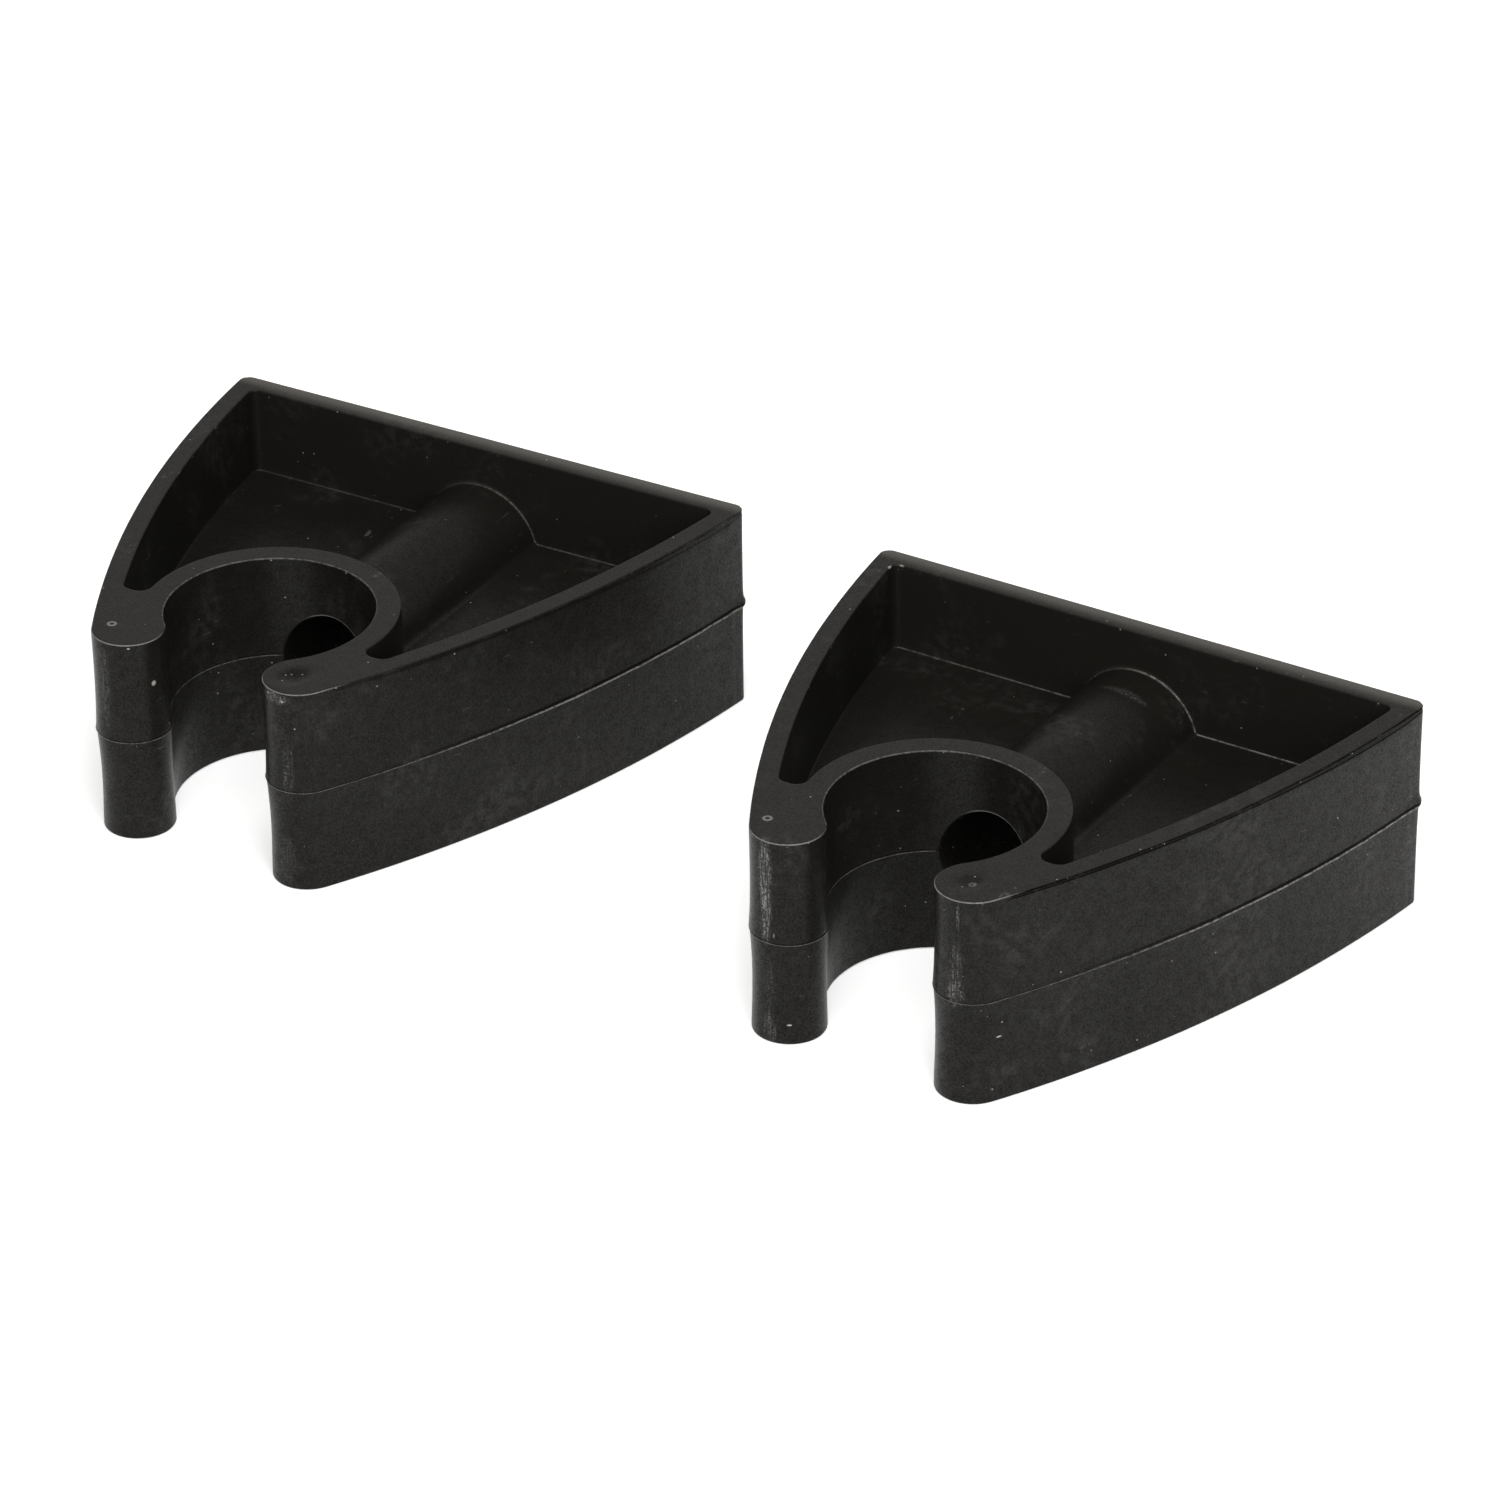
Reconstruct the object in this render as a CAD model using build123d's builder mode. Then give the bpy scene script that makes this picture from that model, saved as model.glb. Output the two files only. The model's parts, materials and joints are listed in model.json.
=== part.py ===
"""A pair of moulded plastic wheel chock blocks, each with a C-shaped clip for a round tube.

Each chock is one wedge-shaped moulding. A flat back wall and two curved side walls meet a
C-shaped ring, whose bore stands along Z and is open at the front between two rounded tips.
A web at mid-height closes the inside, with an open pocket above it and below it, and a round
boss along Y carries a bolt hole from the bore out through the flat back.

Millimetres, +Z up. The origin is on the right chock's bore axis, on the surface it rests on.
+Y points from the bore to the flat back.
"""

import os
from math import cos, radians, sin, sqrt

from build123d import *

# Clip ring, open at the front
tube_radius = 12.7
ring_wall = 2.95
tip_radius = 4.35

# Wedge-shaped block, measured at its top and bottom faces
height = 26.7
back_distance = 49.95
back_half_width = 36.7
side_radius = 168.0
side_lean = 6.4
corner_radius = 0.4
draft = 1.5

# Walls, web and pockets
side_wall = 2.45
back_wall = 2.75
web_thickness = 4.0
pocket_front = -3.9
pocket_front_radius = 1.5
pocket_back_radius = 1.1
pocket_draft = 1.0

# Boss with the bolt hole
boss_radius = 8.2
hole_radius = 6.0

# Where the left chock lies beside the right one
left_spacing = 91.7
left_setback = 1.0
left_turn = 2.0

# Sizes that follow from the ones above
middle = height / 2
pocket_depth = (height - web_thickness) / 2
side_centre = Vector(
    back_half_width - side_radius * cos(radians(side_lean)),
    back_distance + side_radius * sin(radians(side_lean)),
)
beyond = 5.0


def side_point(y, radius=side_radius):
    """The point at y on the side wall's plan curve, or on the parallel curve of that radius."""
    return Vector(side_centre.X + sqrt(radius**2 - (y - side_centre.Y) ** 2), y)


def find_tip_centre():
    """The centre of the circle that touches the bore from outside and the side wall from inside."""
    from_bore = tube_radius + tip_radius
    from_side = side_radius - tip_radius
    between = side_centre.length
    along = (from_bore**2 - from_side**2 + between**2) / (2 * between)
    across = sqrt(from_bore**2 - along**2)
    step = side_centre.normalized()
    return step * along + Vector(-step.Y, step.X) * across


tip_centre = find_tip_centre()
tip_front = tip_centre - Vector(0, tip_radius)
tip_inner = tip_centre - Vector(tip_radius, 0)


def on_tip(towards):
    """The point of the tip circle that lies in a direction from its centre."""
    return tip_centre + towards.normalized() * tip_radius


# Outer outline of the block, with the bore and the mouth between the tips still filled
back_corner = side_point(back_distance)
tip_outer = on_tip(tip_centre - side_centre)
with BuildLine() as wedge_outline:
    Line((0, tip_front.Y), tip_front)
    ThreePointArc(tip_front, on_tip(Vector(1, -1)), tip_outer)
    ThreePointArc(tip_outer, side_point((tip_outer.Y + back_corner.Y) / 2), back_corner)
    Line(back_corner, (0, back_distance))
    mirror(about=Plane.YZ)

# Outline of a pocket: the block less its walls. The clip ring is taken out of it afterwards
pocket_radius = side_radius - side_wall
pocket_corner = side_point(back_distance - back_wall, pocket_radius)
pocket_end = side_point(pocket_front, pocket_radius)
pocket_side = side_point((pocket_end.Y + pocket_corner.Y) / 2, pocket_radius)
with BuildLine() as pocket_outline:
    Line((0, pocket_end.Y), pocket_end)
    ThreePointArc(pocket_end, pocket_side, pocket_corner)
    Line(pocket_corner, (0, pocket_corner.Y))
    mirror(about=Plane.YZ)

# Opening between the tips: straight ahead of them, flaring into the bore behind them
mouth_side = tip_centre.normalized() * tube_radius
mouth_end = tip_inner - Vector(0, tip_radius + beyond)
with BuildLine() as mouth_outline:
    Line((0, mouth_end.Y), mouth_end)
    Line(mouth_end, tip_inner)
    ThreePointArc(tip_inner, on_tip(Vector(-1, 0) - tip_centre.normalized()), mouth_side)
    Line(mouth_side, (0, mouth_side.Y))
    mirror(about=Plane.YZ)


def make_chock(base):
    """One chock, standing on a plane whose origin is on its bore axis."""
    across = Plane(base.from_local_coords((0, 0, middle)), x_dir=-base.x_dir, z_dir=base.y_dir)
    with BuildPart() as chock:
        with BuildSketch(base):
            make_face(wedge_outline.edges())
        extrude(amount=middle, taper=-draft)
        split(bisect_by=across.offset(back_distance), keep=Keep.BOTTOM)
        back = chock.faces().sort_by(Axis.Y)[-1]
        fillet(back.edges().sort_by(SortBy.LENGTH)[:2], corner_radius)
        with BuildSketch(base) as pocket:
            make_face(pocket_outline.edges())
            Circle(tube_radius + ring_wall, mode=Mode.SUBTRACT)
            fillet(pocket.vertices().group_by(Axis.Y)[0], pocket_front_radius)
            corners = pocket.vertices().group_by(Axis.Y)[-1]
            fillet([corners.sort_by(Axis.X)[0], corners.sort_by(Axis.X)[-1]], pocket_back_radius)
        extrude(amount=pocket_depth, taper=pocket_draft, mode=Mode.SUBTRACT)
        mirror(about=base.offset(middle))
        with BuildSketch(across):
            Circle(boss_radius)
        extrude(amount=back_distance - back_wall / 2)
        with BuildSketch(base):
            Circle(tube_radius)
            make_face(mouth_outline.edges())
        extrude(amount=height, mode=Mode.SUBTRACT)
        with BuildSketch(across):
            Circle(hole_radius)
        extrude(amount=back_distance + beyond, mode=Mode.SUBTRACT)
    return chock.part


turned = Vector(1, 0, 0).rotate(Axis.Z, left_turn)
places = {
    "right_chock": Plane.XY,
    "left_chock": Plane((-left_spacing, -left_setback, 0), x_dir=turned, z_dir=(0, 0, 1)),
}

os.makedirs("parts", exist_ok=True)
for name, place in places.items():
    part = make_chock(place)
    part.label = name
    export_step(part, f"parts/{name}.step")
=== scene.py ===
import json
from math import acos, atan2, cos, hypot, pi, radians, sin, sqrt, tan

import bmesh
import bpy
import numpy as np
from mathutils import Matrix, Vector


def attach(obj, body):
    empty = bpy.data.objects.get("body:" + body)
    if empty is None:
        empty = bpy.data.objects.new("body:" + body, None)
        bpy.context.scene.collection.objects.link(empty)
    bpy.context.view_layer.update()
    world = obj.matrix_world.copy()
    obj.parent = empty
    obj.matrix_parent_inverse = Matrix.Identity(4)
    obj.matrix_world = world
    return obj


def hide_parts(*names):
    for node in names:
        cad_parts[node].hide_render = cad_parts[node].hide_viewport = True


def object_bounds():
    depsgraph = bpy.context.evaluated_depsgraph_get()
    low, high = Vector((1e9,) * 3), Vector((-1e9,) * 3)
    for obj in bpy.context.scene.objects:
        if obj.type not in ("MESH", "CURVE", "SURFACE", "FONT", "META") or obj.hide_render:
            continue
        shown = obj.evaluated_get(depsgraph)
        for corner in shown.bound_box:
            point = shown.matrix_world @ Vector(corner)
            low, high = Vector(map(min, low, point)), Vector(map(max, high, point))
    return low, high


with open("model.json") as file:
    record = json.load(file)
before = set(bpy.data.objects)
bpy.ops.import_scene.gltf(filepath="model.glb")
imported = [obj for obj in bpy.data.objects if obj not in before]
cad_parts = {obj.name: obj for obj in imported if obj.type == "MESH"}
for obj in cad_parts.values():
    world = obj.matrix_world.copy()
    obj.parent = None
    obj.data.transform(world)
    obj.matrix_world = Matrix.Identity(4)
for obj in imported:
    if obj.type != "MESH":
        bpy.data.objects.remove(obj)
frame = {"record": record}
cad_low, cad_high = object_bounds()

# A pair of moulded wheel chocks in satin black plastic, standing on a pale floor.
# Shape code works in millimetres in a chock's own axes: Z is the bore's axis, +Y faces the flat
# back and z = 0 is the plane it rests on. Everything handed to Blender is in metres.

MM = 0.001

# Sizes the chocks share with the CAD model
TUBE_RADIUS = 12.7
RING_WALL = 2.95
TIP_RADIUS = 4.35
HEIGHT = 26.7
BACK = 49.95
HALF_WIDTH = 36.7
SIDE_RADIUS = 168.0
SIDE_LEAN = radians(6.4)
SIDE_WALL = 2.45
BACK_WALL = 2.75
WEB = 4.0
POCKET_FRONT = -3.9
POCKET_FRONT_RADIUS = 1.5
POCKET_BACK_RADIUS = 1.1
POCKET_DRAFT = radians(1.0)
BOSS_RADIUS = 8.2
HOLE_RADIUS = 6.0

# Sizes that follow from them
MIDDLE = HEIGHT / 2
INSIDE_BACK = BACK - BACK_WALL
RING_RADIUS = TUBE_RADIUS + RING_WALL
POCKET_FRONT_CENTRE = POCKET_FRONT + POCKET_FRONT_RADIUS
RING_END_X = sqrt((RING_RADIUS + POCKET_FRONT_RADIUS) ** 2 - POCKET_FRONT_CENTRE**2)

# Rounded edges and fillets, which only the visual model has
CORNER_RADIUS = 1.2
EDGE_ROUND = 0.16
BORE_EDGE_ROUND = 0.22
POCKET_EDGE_ROUND = 0.2
FLOOR_FILLET = 0.16
BOSS_FILLET = 0.8
MOUTH_ROUND = 0.18
RIM_DROP = 0.03

# How far the outer surfaces stand out from the plan outline, and how far from mid-height it lasts
BACK_RISE = 0.035
WALL_RISE = 0.1
LARGEST_RISE = 0.345
LARGEST_BORE_RISE = 0.6
BULGE = 0.25
BULGE_REACH = 1.7
CORNER_BULGE_LOSS = 0.75
ARM_BULGE_LOSS = 0.1
BORE_BULGE = 0.22
BORE_BULGE_REACH = 4.0
ARM_HOLLOW_UPPER = 0.05
ARM_HOLLOW_LOWER = 0.12
WALL_HOLLOW = 0.02
BROAD_WAVE = 0.022
FINE_WAVE = 0.004
RIM_WAVE = 0.012
POCKET_WAVE = 0.012
FLOOR_WAVE = 0.02

# The seam at mid-height: its flash, the step across it, the crease over it and the corner lumps
FLASH = 0.055
FLASH_REACH = 0.075
CORNER_FLASH = 0.12
CORNER_FLASH_REACH = 0.06
UPPER_STANDS_OUT = 0.045
STEP_REACH = 0.06
CREASE_DEPTH = 0.025
CREASE_ABOVE = 0.24
CREASE_REACH = 0.09
CORNER_LUMP = 0.42
CORNER_LUMP_ABOVE = 0.48
CORNER_LUMP_REACH = 0.5
CORNER_LUMP_FROM = 47.0
CORNER_LUMP_ALLOWANCE = 0.25

# Under the side walls' top edge: a worn groove, and a shallow band that grows toward the back
EDGE_GROOVE = 0.12
EDGE_GROOVE_BELOW = 0.3
EDGE_GROOVE_WIDTH = 0.055
EDGE_BAND = 0.06
EDGE_BAND_HEIGHT = 0.36
EDGE_BAND_GROWTH = 0.42
EDGE_BAND_BORDER = 0.05
BAND_GROWS = (12.0, 42.0)
BAND_CLOSES = (45.5, 49.5)
BAND_CLOSED = 0.2

# Mesh density, in segments along each stretch of a half outline
BOSS_STEPS = 13
BOSS_FILLET_STEPS = 5
BACK_STEPS = 10
CORNER_STEPS = 8
SIDE_STEPS = 52
TIP_STEPS = 48
POCKET_TIP_STEPS = 24
ROUND_STEPS = 4
TUBE_STEPS = 10
BORE_STEPS = BACK_STEPS + CORNER_STEPS + SIDE_STEPS

# Half size of the patch of wall round a bolt hole's mouth
PATCH_HALF_WIDTH = 9.6
PATCH_HALF_HEIGHT = 8.5

# Heights of the outer wall's rows above and below the seam: close together at the seam and at the
# top edge. The other lists say where rows lie across a stretch, from 0 to 1.
SEAM_ROWS = [0.0, 0.03, 0.06, 0.1, 0.15, 0.22, 0.32, 0.48, 0.75, 1.2, 1.9, 3.1, 4.6, 6.4]
SEAM_ROWS += [PATCH_HALF_HEIGHT, 10.2, 11.5, 12.1, 12.26, 12.36, 12.46, 12.56, 12.66, 12.75]
SEAM_ROWS += [12.83, 12.9, 12.95, 12.99, 13.02, 13.05, 13.08]
RIM_ROWS = (0, 0.035, 0.1, 0.19, 0.28, 0.37, 0.46, 0.55, 0.64, 0.73, 0.82, 0.9, 0.965, 1)
POCKET_ROWS = (0.02, 0.1, 0.25, 0.42, 0.6, 0.78, 0.92, 1.0)
MOUTH_ROWS = (0, 0.2, 0.4, 0.6, 0.78, 0.92)
ROUND = np.radians(np.linspace(0, 90, ROUND_STEPS + 1))

# Points this close are one point once the patches are joined
WELD = 0.002 * MM


def arc(centre, radius, start, end, count):
    """Points and outward directions along an arc."""
    angles = np.linspace(start, end, count + 1)
    out = np.stack([np.cos(angles), np.sin(angles)], 1)
    return np.array(centre) + radius * out, out


def by_length(points, normals, count):
    """The same line with its points evenly spaced along it."""
    run = np.r_[0.0, np.cumsum(np.linalg.norm(np.diff(points, axis=0), axis=1))]
    at = np.linspace(0, run[-1], count + 1)
    p = np.stack([np.interp(at, run, points[:, k]) for k in (0, 1)], 1)
    n = np.stack([np.interp(at, run, normals[:, k]) for k in (0, 1)], 1)
    return p, n / np.linalg.norm(n, axis=1)[:, None]


def smoothstep(t):
    """A smooth step from 0 to 1."""
    t = np.clip(t, 0.0, 1.0)
    return t * t * (3 - 2 * t)


def hump(away, reach, power=2):
    """1 at no distance, fading smoothly over a reach."""
    return np.exp(-np.abs(away / reach) ** power)


class Ripple:
    """Smooth, seeded unevenness over space, from about -1 to 1."""

    def __init__(self, seed, wavelength, waves=9):
        rng = np.random.default_rng(seed)
        directions = rng.normal(size=(waves, 3))
        directions /= np.linalg.norm(directions, axis=1)[:, None]
        lengths = wavelength * rng.uniform(0.6, 1.7, waves)
        self.k = directions * (2 * pi / lengths)[:, None]
        self.phase = rng.uniform(0, 2 * pi, waves)
        self.scale = 1.0 / sqrt(waves)

    def __call__(self, x, y, z):
        total = 0.0
        for k, phase in zip(self.k, self.phase):
            total = total + np.sin(k[0] * x + k[1] * y + k[2] * z + phase)
        return total * self.scale


# Plan curves of the side wall and the tip
SIDE_CENTRE = np.array(
    [HALF_WIDTH - SIDE_RADIUS * cos(SIDE_LEAN), BACK + SIDE_RADIUS * sin(SIDE_LEAN)]
)


def inside_side(y, gap):
    """x of the point at y that lies a distance inside the side wall's curve."""
    return SIDE_CENTRE[0] + sqrt((SIDE_RADIUS - gap) ** 2 - (y - SIDE_CENTRE[1]) ** 2)


def side_angle(point):
    """Direction of a point from the centre of the side wall's curve."""
    return atan2(point[1] - SIDE_CENTRE[1], point[0] - SIDE_CENTRE[0])


def find_tip_centre():
    """Centre of the circle that touches the bore from outside and the side curve from inside."""
    between = hypot(*SIDE_CENTRE)
    step = SIDE_CENTRE / between
    near, far = TUBE_RADIUS + TIP_RADIUS, SIDE_RADIUS - TIP_RADIUS
    along = (near**2 - far**2 + between**2) / (2 * between)
    return step * along + np.array([-step[1], step[0]]) * sqrt(near**2 - along**2)


TIP = find_tip_centre()
TIP_ANGLE = atan2(TIP[1], TIP[0])
RING_START = atan2(POCKET_FRONT_CENTRE, RING_END_X)

# The x values shared by everything that faces along Y behind the bore: boss, hole and walls
BOSS_FILLET_X = sqrt((BOSS_RADIUS + BOSS_FILLET) ** 2 - (WEB / 2 + BOSS_FILLET) ** 2)
BOSS_TANGENT_X = BOSS_FILLET_X * BOSS_RADIUS / (BOSS_RADIUS + BOSS_FILLET)
SHARED_X = np.r_[
    BOSS_RADIUS * np.sin(np.linspace(0, np.arcsin(BOSS_TANGENT_X / BOSS_RADIUS), BOSS_STEPS + 1)),
    np.linspace(BOSS_TANGENT_X, BOSS_FILLET_X, BOSS_FILLET_STEPS + 1)[1:],
    PATCH_HALF_WIDTH,
]
SHARED = len(SHARED_X) - 1


def floor_height(x):
    """Height of the pocket's floor above mid-height: the web, the boss and the fillet between."""
    x = np.abs(x)
    boss = np.sqrt(np.clip(BOSS_RADIUS**2 - x**2, 0, None))
    fillet = WEB / 2 + BOSS_FILLET
    fillet = fillet - np.sqrt(np.clip(BOSS_FILLET**2 - (BOSS_FILLET_X - x) ** 2, 0, None))
    return np.where(x < BOSS_TANGENT_X, boss, np.where(x < BOSS_FILLET_X, fillet, WEB / 2))


def back_and_corner(y, corner_radius, gap):
    """The flat stretch at the back, the corner after it, and the angle at which the side starts."""
    centre = np.array([0.0, y - corner_radius])
    centre[0] = inside_side(centre[1], gap + corner_radius)
    x = np.r_[SHARED_X, np.linspace(PATCH_HALF_WIDTH, centre[0], BACK_STEPS + 1)[1:]]
    back = np.stack([x, np.full(len(x), y)], 1)
    lean = side_angle(centre)
    corner, out = arc(centre, corner_radius, pi / 2, lean, CORNER_STEPS)
    return back, corner, out, lean


def round_bore(radius):
    """A circle about the bore from its pocket end to the hole's patch, and on across the patch."""
    first, out = arc((0, 0), radius, RING_START, acos(PATCH_HALF_WIDTH / radius), BORE_STEPS)
    x = SHARED_X[::-1]
    last = np.stack([x, np.sqrt(radius**2 - x**2)], 1)
    return first, out, last, last / radius


def arm_fade(y):
    """How much of an arm's shape the wall has at y: all at the tip, none at the back."""
    return smoothstep((16.0 - y) / 22.0)


def outer_half():
    """Right half of the outer outline, from the back's centre round to the bore's back.

    Gives points, normals and, for each point, how much it belongs to the drafted outer walls, to
    the bore and to an arm.
    """
    back, corner, corner_out, lean = back_and_corner(BACK, CORNER_RADIUS, 0)
    meet = side_angle((inside_side(POCKET_FRONT_CENTRE, 0), POCKET_FRONT_CENTRE))
    side, side_out = arc(SIDE_CENTRE, SIDE_RADIUS, lean, meet, SIDE_STEPS)

    # the tip's share of points takes in the end of the side wall and the start of the bore
    tip_start = side_angle(TIP)
    arm, arm_out = arc(SIDE_CENTRE, SIDE_RADIUS, meet, tip_start, TIP_STEPS // 4)
    tip, tip_out = arc(TIP, TIP_RADIUS, tip_start, TIP_ANGLE - pi, TIP_STEPS // 2)
    lip, lip_out = arc((0, 0), TUBE_RADIUS, TIP_ANGLE, RING_START, TIP_STEPS // 4)
    bore, bore_out, bore_back, bore_back_out = round_bore(TUBE_RADIUS)

    stretches = [
        (back, np.tile([0.0, 1.0], (len(back), 1)), "back"),
        (corner, corner_out, "corner"),
        (side, side_out, "side"),
        (arm, arm_out, "arm"),
        (tip, tip_out, "tip"),
        (lip, -lip_out, "bore"),
        (bore, -bore_out, "bore"),
        (bore_back, -bore_back_out, "bore"),
    ]
    columns = []
    for number, (p, n, kind) in enumerate(stretches):
        first = 0 if number == 0 else 1
        t = np.linspace(0, 1, len(p))[first:]
        one, none = np.ones(len(t)), np.zeros(len(t))
        inner = smoothstep((t - 0.62) / 0.34)
        fade = arm_fade(p[first:, 1])
        drafted, in_bore, on_arm = {
            "back": (none, none, none),
            "corner": (smoothstep(t), none, none),
            "side": (one, none, fade),
            "arm": (one, none, one),
            "tip": (1 - inner, inner, one),
            "bore": (none, one, 0.5 * fade),
        }[kind]
        columns.append((p[first:], n[first:], drafted, in_bore, on_arm))
    return [np.concatenate(column) for column in zip(*columns)]


def pocket_half():
    """Right half of a pocket's outline at its open end, matched point for point to the outer one."""
    back, corner, corner_out, lean = back_and_corner(INSIDE_BACK, POCKET_BACK_RADIUS, SIDE_WALL)
    front = (inside_side(POCKET_FRONT_CENTRE, SIDE_WALL + POCKET_FRONT_RADIUS), POCKET_FRONT_CENTRE)
    near = (RING_END_X, POCKET_FRONT_CENTRE)
    meet = side_angle(front)
    side, side_out = arc(SIDE_CENTRE, SIDE_RADIUS - SIDE_WALL, lean, meet, SIDE_STEPS)
    a, a_out = arc(front, POCKET_FRONT_RADIUS, meet, -pi / 2, POCKET_TIP_STEPS)
    b, b_out = arc(near, POCKET_FRONT_RADIUS, -pi / 2, RING_START - pi, POCKET_TIP_STEPS)
    tip, tip_out = by_length(np.r_[a, b], np.r_[a_out, b_out], TIP_STEPS)
    ring, ring_out, ring_back, ring_back_out = round_bore(RING_RADIUS)
    back_in = np.tile([0.0, -1.0], (len(back), 1))
    points = [back, corner[1:], side[1:], tip[1:], ring[1:], ring_back[1:]]
    normals = [back_in, -corner_out[1:], -side_out[1:], -tip_out[1:], ring_out[1:], ring_back_out[1:]]
    return np.concatenate(points), np.concatenate(normals)


def whole(half, flip=False):
    """A half outline followed by its mirror image, as one closed loop."""
    other = half[-2:0:-1].copy()
    if flip:
        other[:, 0] *= -1
    return np.concatenate([half, other])


outer = outer_half()
OUTER_P, OUTER_N = whole(outer[0], True), whole(outer[1], True)
DRAFTED, IN_BORE, ON_ARM = (whole(a) for a in outer[2:])
POCKET_P, POCKET_N = (whole(a, True) for a in pocket_half())
HALF = len(outer[0]) - 1
LOOP = 2 * HALF
FLOOR_STEPS = SHARED + BACK_STEPS + CORNER_STEPS + SIDE_STEPS


class Chock:
    """One moulding, built as a single closed mesh, nearly all of it quads."""

    def __init__(self, name, seed, dishes):
        self.name = name
        self.dishes = dishes
        self.broad = Ripple(seed, 26.0)
        self.fine = Ripple(seed + 1, 5.5)
        self.seam = Ripple(seed + 2, 2.6)
        self.patches = []

    # ---- small departures from the nominal shape
    def flash(self, x, y, above, corner):
        """The seam: its flash, strongest at the back corners, and the fine crease over it."""
        uneven = np.clip(0.8 + 0.45 * self.seam(x, y, 0.0), 0.15, 1.6)
        reach = FLASH_REACH + CORNER_FLASH_REACH * corner
        flash = (FLASH + CORNER_FLASH * corner) * uneven * hump(above, reach)
        return flash - CREASE_DEPTH * hump(above - CREASE_ABOVE, CREASE_REACH)

    def worn_edge(self, x, y, below):
        """Depth of the worn groove under the top edge and of the band below it."""
        worn = np.clip(0.55 + 0.8 * self.seam(x, y, 90.0), 0, 1)
        groove = EDGE_GROOVE * worn * hump(below - EDGE_GROOVE_BELOW, EDGE_GROOVE_WIDTH)
        grown = smoothstep((y - BAND_GROWS[0]) / (BAND_GROWS[1] - BAND_GROWS[0]))
        closed = smoothstep((y - BAND_CLOSES[0]) / (BAND_CLOSES[1] - BAND_CLOSES[0]))
        growth = EDGE_BAND_GROWTH * grown * (1 - (1 - BAND_CLOSED) * closed)
        band_end = EDGE_GROOVE_BELOW + EDGE_BAND_HEIGHT + growth
        upper = np.tanh((below - EDGE_GROOVE_BELOW) / EDGE_BAND_BORDER)
        lower = np.tanh((below - band_end) / EDGE_BAND_BORDER)
        return groove + EDGE_BAND / 2 * (upper - lower)

    def rise(self, p, drafted, in_bore, on_arm, z):
        """How far the outer surface stands out from the nominal outline at a height."""
        x, y = p[..., 0], p[..., 1]
        above = z - MIDDLE
        high = np.abs(above)
        corner = smoothstep((np.abs(x) - 16.0) / 18.0) * drafted
        bulge = BULGE * (1 - CORNER_BULGE_LOSS * corner) - ARM_BULGE_LOSS * on_arm
        rise = drafted * (WALL_RISE + bulge * hump(high, BULGE_REACH, 1))
        rise = rise + (1 - drafted - in_bore) * BACK_RISE
        rise = rise + in_bore * BORE_BULGE * hump(high, BORE_BULGE_REACH, 1)
        hollow = on_arm * np.where(above > 0, ARM_HOLLOW_UPPER, ARM_HOLLOW_LOWER)
        share = np.clip(1 - high / MIDDLE, 0, 1)
        rise = rise - (hollow + drafted * WALL_HOLLOW) * np.sin(pi * share) ** 1.5
        rise = rise + (0.3 + 0.7 * drafted) * BROAD_WAVE * self.broad(x, y, z)
        rise = rise + FINE_WAVE * self.fine(x, y, z)
        rise = rise + drafted * UPPER_STANDS_OUT * np.tanh(above / STEP_REACH)
        rise = rise + self.flash(x, y, above, corner)
        rise = rise - smoothstep((y + 12.0) / 10.0) * drafted * self.worn_edge(x, y, HEIGHT - z)
        lump = CORNER_LUMP * smoothstep((y - CORNER_LUMP_FROM) / 2.0) * drafted
        lump = lump * hump(above - CORNER_LUMP_ABOVE, CORNER_LUMP_REACH)
        limit = np.where(in_bore > 0.5, LARGEST_BORE_RISE, BACK_RISE)
        limit = np.where(drafted > 0.5, LARGEST_RISE + CORNER_LUMP_ALLOWANCE * lump, limit)
        return np.minimum(rise + lump, limit)

    def top(self, x, y, up):
        """Height of the rim's flat face above or below the seam."""
        height = MIDDLE - (RIM_DROP if up > 0 else 0.0)
        height = height - np.clip(RIM_WAVE * (1 + self.broad(x, y, 40.0 * up)), 0, None)
        if up > 0:
            for cx, cy, radius, depth in self.dishes:
                away = ((x - cx) ** 2 + (y - cy) ** 2) / radius**2
                height = height - depth * hump(away, 1.0, 1.6)
        return height

    # ---- patches
    def add_loop(self, grid):
        """Adds a patch that closes on itself along its columns."""
        self.patches.append(np.concatenate([grid, grid[:, :1]], 1))

    def wall_point(self, p, n, drafted, in_bore, on_arm, z):
        """Points of the outer surface over places on its outline."""
        rise = self.rise(p, drafted, in_bore, on_arm, z)
        return np.concatenate([p + n * rise[..., None], z[..., None]], -1)

    def outline_at(self, z):
        """The whole outer outline at heights z."""
        return self.wall_point(OUTER_P, OUTER_N, DRAFTED, IN_BORE, ON_ARM, z)

    def rounding(self, up):
        """Rows round the outer edge at the top or bottom, from the wall to the rim."""
        turn = np.where(IN_BORE > 0.5, BORE_EDGE_ROUND, EDGE_ROUND)
        flat = self.top(OUTER_P[:, 0], OUTER_P[:, 1], up)
        rows = []
        for a in ROUND:
            row = self.outline_at(MIDDLE + up * (flat - turn * (1 - np.sin(a))))
            row[:, :2] -= OUTER_N * (turn * (1 - np.cos(a)))[:, None]
            rows.append(row)
        return rows

    def build_wall(self):
        """The outer surface as rows from the bottom rounding up to the top one."""
        levels = [-h for h in SEAM_ROWS[:0:-1]] + SEAM_ROWS
        rows = self.rounding(-1)[::-1]
        start = len(rows)
        rows += [self.outline_at(np.full(LOOP, MIDDLE + level)) for level in levels]
        rows += self.rounding(1)
        grid = np.array(rows)

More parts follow.
